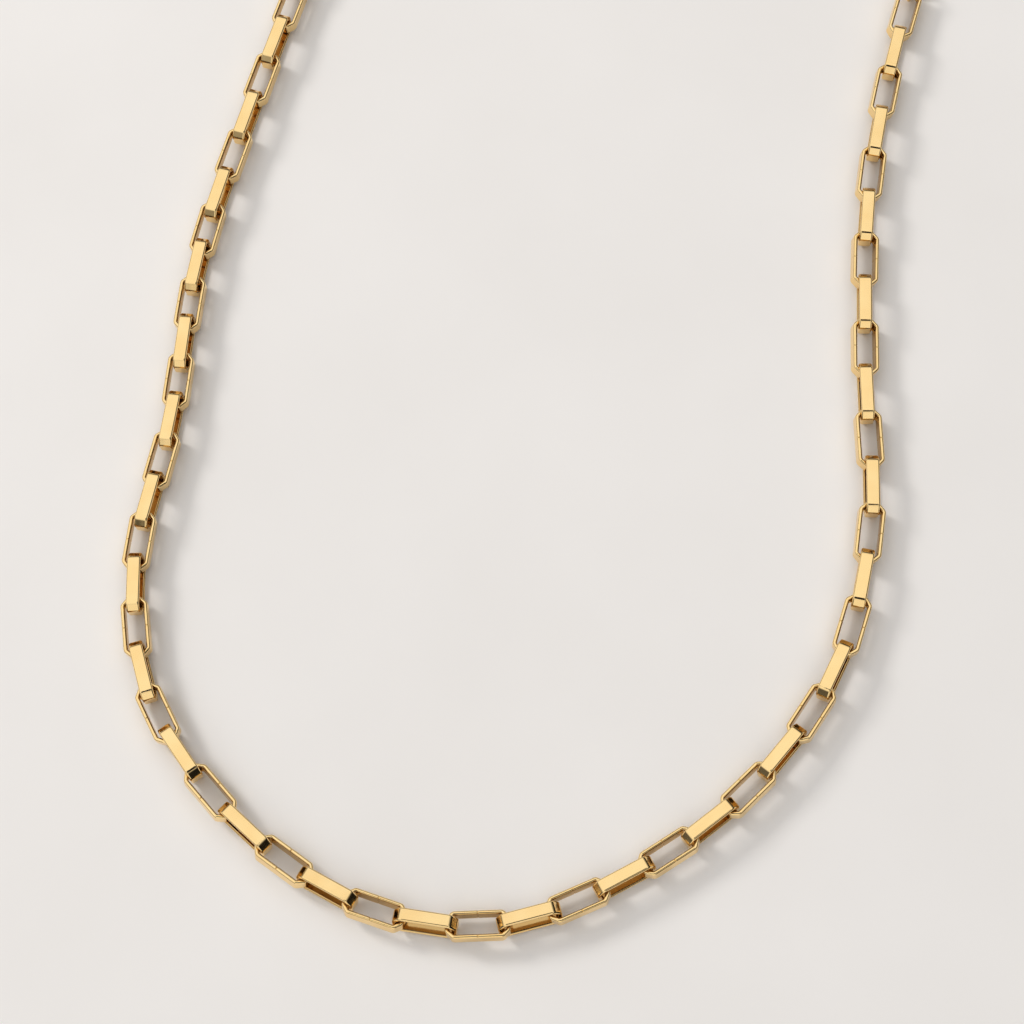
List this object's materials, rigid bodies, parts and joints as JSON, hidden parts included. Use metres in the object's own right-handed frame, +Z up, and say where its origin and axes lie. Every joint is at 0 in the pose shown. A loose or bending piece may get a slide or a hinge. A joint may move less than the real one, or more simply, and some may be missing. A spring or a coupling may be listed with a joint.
{
  "type": "chain necklace",
  "caption": "Gold necklace chain of long flat-band box links that lie flat and stand upright in turn, laid in a U, with a lobster clasp and a catch ring.",
  "frame": {"origin": "centre of the laid-out necklace's outline, on the surface that it lies on", "axes": "+Z up out of the surface, +Y towards the two open ends, the bottom of the U faces -Y, the clasp is on the -X strand"},
  "size_m": [0.1196, 0.1734, 0.0042],
  "materials": {
    "gold": "polished gold plating",
    "spring_steel": "bright spring strip"
  },
  "bodies": {
    "link_01": {"flat_link_01": "gold"},
    "link_02": {"upright_link_02": "gold"},
    "link_03": {"flat_link_03": "gold"},
    "link_04": {"upright_link_04": "gold"},
    "link_05": {"flat_link_05": "gold"},
    "link_06": {"upright_link_06": "gold"},
    "link_07": {"flat_link_07": "gold"},
    "link_08": {"upright_link_08": "gold"},
    "link_09": {"flat_link_09": "gold"},
    "link_10": {"upright_link_10": "gold"},
    "link_11": {"flat_link_11": "gold"},
    "link_12": {"upright_link_12": "gold"},
    "link_13": {"flat_link_13": "gold"},
    "link_14": {"upright_link_14": "gold"},
    "link_15": {"flat_link_15": "gold"},
    "link_16": {"upright_link_16": "gold"},
    "link_17": {"flat_link_17": "gold"},
    "link_18": {"upright_link_18": "gold"},
    "link_19": {"flat_link_19": "gold"},
    "link_20": {"upright_link_20": "gold"},
    "link_21": {"flat_link_21": "gold"},
    "link_22": {"upright_link_22": "gold"},
    "link_23": {"flat_link_23": "gold"},
    "link_24": {"upright_link_24": "gold"},
    "link_25": {"flat_link_25": "gold"},
    "link_26": {"upright_link_26": "gold"},
    "link_27": {"flat_link_27": "gold"},
    "link_28": {"upright_link_28": "gold"},
    "link_29": {"flat_link_29": "gold"},
    "link_30": {"upright_link_30": "gold"},
    "link_31": {"flat_link_31": "gold"},
    "link_32": {"upright_link_32": "gold"},
    "link_33": {"flat_link_33": "gold"},
    "link_34": {"upright_link_34": "gold"},
    "link_35": {"flat_link_35": "gold"},
    "link_36": {"upright_link_36": "gold"},
    "link_37": {"flat_link_37": "gold"},
    "link_38": {"upright_link_38": "gold"},
    "link_39": {"flat_link_39": "gold"},
    "link_40": {"upright_link_40": "gold"},
    "link_41": {"flat_link_41": "gold"},
    "link_42": {"upright_link_42": "gold"},
    "link_43": {"flat_link_43": "gold"},
    "link_44": {"upright_link_44": "gold"},
    "link_45": {"flat_link_45": "gold"},
    "link_46": {"upright_link_46": "gold"},
    "link_47": {"flat_link_47": "gold"},
    "link_48": {"upright_link_48": "gold"},
    "link_49": {"flat_link_49": "gold"},
    "link_50": {"upright_link_50": "gold"},
    "link_51": {"flat_link_51": "gold"},
    "link_52": {"upright_link_52": "gold"},
    "link_53": {"flat_link_53": "gold"},
    "clasp_jump_ring": {"clasp_jump_ring": "gold"},
    "clasp": {"clasp_body": "gold", "clasp_pin": "gold", "clasp_spring": "spring_steel"},
    "clasp_lever": {"clasp_lever": "gold"},
    "end_jump_ring": {"end_jump_ring": "gold"},
    "catch_ring": {"catch_ring": "gold"}
  },
  "joints": [
    {"name": "swing_01_02", "type": "hinge", "parent": "link_02", "child": "link_01", "pos_m": [-0.03743, 0.06577, 0.0019], "axis": [-0.9607, 0.2749, 0.039], "range_deg": [-28, 28]},
    {"name": "swing_02_03", "type": "hinge", "parent": "link_03", "child": "link_02", "pos_m": [-0.03937, 0.05925, 0.00191], "axis": [0.0092, -0.0027, 1], "range_deg": [-28.1, 27.9]},
    {"name": "swing_03_04", "type": "hinge", "parent": "link_04", "child": "link_03", "pos_m": [-0.04131, 0.05274, 0.00192], "axis": [0.9585, -0.2846, -0.0166], "range_deg": [-28, 28]},
    {"name": "swing_04_05", "type": "hinge", "parent": "link_05", "child": "link_04", "pos_m": [-0.04322, 0.04621, 0.00192], "axis": [-0.0167, 0.0049, -0.9998], "range_deg": [-28.6, 27.4]},
    {"name": "swing_05_06", "type": "hinge", "parent": "link_06", "child": "link_05", "pos_m": [-0.04506, 0.03966, 0.00191], "axis": [-0.9621, 0.2714, 0.0276], "range_deg": [-28, 28]},
    {"name": "swing_06_07", "type": "hinge", "parent": "link_07", "child": "link_06", "pos_m": [-0.04684, 0.0331, 0.00191], "axis": [-0.0064, 0.0017, 1], "range_deg": [-28.1, 27.9]},
    {"name": "swing_07_08", "type": "hinge", "parent": "link_08", "child": "link_07", "pos_m": [-0.04866, 0.02655, 0.00192], "axis": [0.9626, -0.266, -0.0519], "range_deg": [-28.1, 27.9]},
    {"name": "swing_08_09", "type": "hinge", "parent": "link_09", "child": "link_08", "pos_m": [-0.05034, 0.01996, 0.00192], "axis": [0.018, -0.0046, -0.9998], "range_deg": [-30.1, 25.9]},
    {"name": "swing_09_10", "type": "hinge", "parent": "link_10", "child": "link_09", "pos_m": [-0.05161, 0.01394, 0.00191], "axis": [-0.9766, 0.2103, 0.0452], "range_deg": [-27.8, 28.2]},
    {"name": "swing_10_11", "type": "hinge", "parent": "link_11", "child": "link_10", "pos_m": [-0.0525, 0.00785, 0.0019], "axis": [0.0033, -0.0005, 1], "range_deg": [-24.6, 31.4]},
    {"name": "swing_11_12", "type": "hinge", "parent": "link_12", "child": "link_11", "pos_m": [-0.053, 0.00172, 0.00191], "axis": [0.9954, -0.0942, -0.0197], "range_deg": [-28, 28]},
    {"name": "swing_12_13", "type": "hinge", "parent": "link_13", "child": "link_12", "pos_m": [-0.05339, -0.00442, 0.00192], "axis": [-0.0191, 0.0013, -0.9998], "range_deg": [-27.5, 28.5]},
    {"name": "swing_13_14", "type": "hinge", "parent": "link_14", "child": "link_13", "pos_m": [-0.05386, -0.01055, 0.00191], "axis": [-0.9967, 0.0778, 0.0219], "range_deg": [-28.1, 27.9]},
    {"name": "swing_14_15", "type": "hinge", "parent": "link_15", "child": "link_14", "pos_m": [-0.05465, -0.01665, 0.0019], "axis": [0, 0, 1], "range_deg": [-32.5, 23.5]},
    {"name": "swing_15_16", "type": "hinge", "parent": "link_16", "child": "link_15", "pos_m": [-0.05602, -0.02276, 0.00191], "axis": [0.9784, -0.2009, -0.0479], "range_deg": [-28, 28]},
    {"name": "swing_16_17", "type": "hinge", "parent": "link_17", "child": "link_16", "pos_m": [-0.0573, -0.02888, 0.00192], "axis": [0.0187, -0.0038, -0.9998], "range_deg": [-33.6, 22.4]},
    {"name": "swing_17_18", "type": "hinge", "parent": "link_18", "child": "link_17", "pos_m": [-0.0579, -0.0351, 0.00191], "axis": [-0.9935, 0.1023, 0.0501], "range_deg": [-27.6, 28.4]},
    {"name": "swing_18_19", "type": "hinge", "parent": "link_19", "child": "link_18", "pos_m": [-0.05743, -0.04137, 0.0019], "axis": [-0.0033, -0.0001, 1], "range_deg": [-21.8, 34.2]},
    {"name": "swing_19_20", "type": "hinge", "parent": "link_20", "child": "link_19", "pos_m": [-0.05641, -0.04779, 0.00191], "axis": [0.9887, 0.1478, -0.0246], "range_deg": [-28.2, 27.8]},
    {"name": "swing_20_21", "type": "hinge", "parent": "link_21", "child": "link_20", "pos_m": [-0.05435, -0.05398, 0.00192], "axis": [-0.0177, -0.0056, -0.9998], "range_deg": [-38.8, 17.2]},
    {"name": "swing_21_22", "type": "hinge", "parent": "link_22", "child": "link_21", "pos_m": [-0.05111, -0.05966, 0.00192], "axis": [-0.8805, -0.4737, 0.0179], "range_deg": [-27.9, 28.1]},
    {"name": "swing_22_23", "type": "hinge", "parent": "link_23", "child": "link_22", "pos_m": [-0.04714, -0.06484, 0.00196], "axis": [0.0546, 0.0399, 0.9977], "range_deg": [-21.6, 34.4]},
    {"name": "swing_23_24", "type": "hinge", "parent": "link_24", "child": "link_23", "pos_m": [-0.04232, -0.06998, 0.00201], "axis": [0.7219, 0.6631, -0.198], "range_deg": [-29.2, 26.8]},
    {"name": "swing_24_25", "type": "hinge", "parent": "link_25", "child": "link_24", "pos_m": [-0.03699, -0.0746, 0.00203], "axis": [-0.1092, -0.1238, -0.9863], "range_deg": [-34.6, 21.4]},
    {"name": "swing_25_26", "type": "hinge", "parent": "link_26", "child": "link_25", "pos_m": [-0.03116, -0.07856, 0.00208], "axis": [-0.5472, -0.79, 0.2765], "range_deg": [-26, 30]},
    {"name": "swing_26_27", "type": "hinge", "parent": "link_27", "child": "link_26", "pos_m": [-0.02488, -0.08177, 0.00208], "axis": [0.1137, 0.2173, 0.9695], "range_deg": [-18.8, 37.2]},
    {"name": "swing_27_28", "type": "hinge", "parent": "link_28", "child": "link_27", "pos_m": [-0.01815, -0.08392, 0.00208], "axis": [0.3015, 0.9188, -0.2548], "range_deg": [-30.6, 25.4]},
    {"name": "swing_28_29", "type": "hinge", "parent": "link_29", "child": "link_28", "pos_m": [-0.01114, -0.0848, 0.0021], "axis": [-0.0409, -0.292, -0.9555], "range_deg": [-38.1, 17.9]},
    {"name": "swing_29_30", "type": "hinge", "parent": "link_29", "child": "link_30", "pos_m": [-0.00408, -0.08438, 0.00209], "axis": [-0.0443, 0.9809, -0.1892], "range_deg": [-25.6, 30.4]},
    {"name": "swing_30_31", "type": "hinge", "parent": "link_30", "child": "link_31", "pos_m": [0.00257, -0.08249, 0.00209], "axis": [0.0709, -0.2657, -0.9615], "range_deg": [-19.4, 36.6]},
    {"name": "swing_31_32", "type": "hinge", "parent": "link_31", "child": "link_32", "pos_m": [0.00883, -0.07955, 0.00207], "axis": [0.3996, -0.9031, 0.1572], "range_deg": [-28.7, 27.3]},
    {"name": "swing_32_33", "type": "hinge", "parent": "link_32", "child": "link_33", "pos_m": [0.01485, -0.07621, 0.00205], "axis": [-0.09, 0.1678, 0.9817], "range_deg": [-32.6, 23.4]},
    {"name": "swing_33_34", "type": "hinge", "parent": "link_33", "child": "link_34", "pos_m": [0.02061, -0.07243, 0.00205], "axis": [-0.5335, 0.8249, -0.1868], "range_deg": [-27.1, 28.9]},
    {"name": "swing_34_35", "type": "hinge", "parent": "link_34", "child": "link_35", "pos_m": [0.02601, -0.06816, 0.00202], "axis": [0.0936, -0.12, -0.9883], "range_deg": [-21.7, 34.3]},
    {"name": "swing_35_36", "type": "hinge", "parent": "link_35", "child": "link_36", "pos_m": [0.0309, -0.0633, 0.00203], "axis": [0.6887, -0.7047, 0.1705], "range_deg": [-29, 27]},
    {"name": "swing_36_37", "type": "hinge", "parent": "link_36", "child": "link_37", "pos_m": [0.03526, -0.05797, 0.00203], "axis": [-0.1257, 0.105, 0.9865], "range_deg": [-34.3, 21.7]},
    {"name": "swing_37_38", "type": "hinge", "parent": "link_37", "child": "link_38", "pos_m": [0.03901, -0.05219, 0.00201], "axis": [-0.8257, 0.547, -0.1379], "range_deg": [-27, 29]},
    {"name": "swing_38_39", "type": "hinge", "parent": "link_38", "child": "link_39", "pos_m": [0.04197, -0.04596, 0.00202], "axis": [0.1399, -0.0682, -0.9878], "range_deg": [-20, 36]},
    {"name": "swing_39_40", "type": "hinge", "parent": "link_39", "child": "link_40", "pos_m": [0.04398, -0.03936, 0.00198], "axis": [0.951, -0.3077, 0.0291], "range_deg": [-28.2, 27.8]},
    {"name": "swing_40_41", "type": "hinge", "parent": "link_40", "child": "link_41", "pos_m": [0.04534, -0.0326, 0.00194], "axis": [-0.0376, 0.0081, 0.9993], "range_deg": [-31.8, 24.2]},
    {"name": "swing_41_42", "type": "hinge", "parent": "link_41", "child": "link_42", "pos_m": [0.04628, -0.02578, 0.00192], "axis": [-0.9871, 0.1442, 0.0695], "range_deg": [-28.5, 27.5]},
    {"name": "swing_42_43", "type": "hinge", "parent": "link_42", "child": "link_43", "pos_m": [0.04639, -0.01873, 0.00192], "axis": [-0.0181, 0.0005, -0.9998], "range_deg": [-25, 31]},
    {"name": "swing_43_44", "type": "hinge", "parent": "link_43", "child": "link_44", "pos_m": [0.04612, -0.01169, 0.00191], "axis": [0.9942, 0.027, -0.1043], "range_deg": [-28.1, 27.9]},
    {"name": "swing_44_45", "type": "hinge", "parent": "link_44", "child": "link_45", "pos_m": [0.04606, -0.00465, 0.0019], "axis": [-0.0049, 0, 1], "range_deg": [-25.9, 30.1]},
    {"name": "swing_45_46", "type": "hinge", "parent": "link_45", "child": "link_46", "pos_m": [0.04637, 0.00238, 0.00192], "axis": [-0.9874, 0.0319, 0.1551], "range_deg": [-28, 28]},
    {"name": "swing_46_47", "type": "hinge", "parent": "link_46", "child": "link_47", "pos_m": [0.04662, 0.00942, 0.00192], "axis": [0.0189, -0.0007, -0.9998], "range_deg": [-29.4, 26.6]},
    {"name": "swing_47_48", "type": "hinge", "parent": "link_47", "child": "link_48", "pos_m": [0.04706, 0.01644, 0.00191], "axis": [0.9861, -0.0602, -0.1551], "range_deg": [-28.4, 27.6]},
    {"name": "swing_48_49", "type": "hinge", "parent": "link_48", "child": "link_49", "pos_m": [0.0478, 0.02345, 0.0019], "axis": [0.0016, -0.0002, 1], "range_deg": [-25, 31]},
    {"name": "swing_49_50", "type": "hinge", "parent": "link_49", "child": "link_50", "pos_m": [0.04893, 0.0304, 0.00191], "axis": [-0.979, 0.1536, 0.1339], "range_deg": [-27.7, 28.3]},
    {"name": "swing_50_51", "type": "hinge", "parent": "link_50", "child": "link_51", "pos_m": [0.05032, 0.0373, 0.00192], "axis": [-0.0188, 0.0037, -0.9998], "range_deg": [-29.9, 26.1]},
    {"name": "swing_51_52", "type": "hinge", "parent": "link_51", "child": "link_52", "pos_m": [0.05193, 0.04416, 0.00191], "axis": [0.9648, -0.2236, -0.138], "range_deg": [-28.2, 27.8]},
    {"name": "swing_52_53", "type": "hinge", "parent": "link_52", "child": "link_53", "pos_m": [0.05374, 0.05096, 0.0019], "axis": [0.0017, -0.0005, 1], "range_deg": [-25.8, 30.2]},
    {"name": "clasp_jump_ring_swing", "type": "hinge", "parent": "link_01", "child": "clasp_jump_ring", "pos_m": [-0.03517, 0.07368, 0.0019], "axis": [0, 0, 1], "range_deg": [-18, 18]},
    {"name": "clasp_swing", "type": "hinge", "parent": "clasp_jump_ring", "child": "clasp", "pos_m": [-0.03492, 0.07454, 0.0015], "axis": [0.9614, -0.2751, 0], "range_deg": [-45, 35]},
    {"name": "clasp_lever_pivot", "type": "hinge", "parent": "clasp", "child": "clasp_lever", "pos_m": [-0.03459, 0.07933, 0.0015], "axis": [0, 0, 1], "range_deg": [-25, 0], "stiffness_Nm_per_rad": 0.002, "springref_deg": 20.05},
    {"name": "end_jump_ring_swing", "type": "hinge", "parent": "link_53", "child": "end_jump_ring", "pos_m": [0.05577, 0.0577, 0.00191], "axis": [0, 0, 1], "range_deg": [-20, 20]},
    {"name": "catch_ring_swing", "type": "hinge", "parent": "end_jump_ring", "child": "catch_ring", "pos_m": [0.05603, 0.05856, 0.00125], "axis": [0.9571, -0.2897, 0], "range_deg": [-60, 60]}
  ]
}
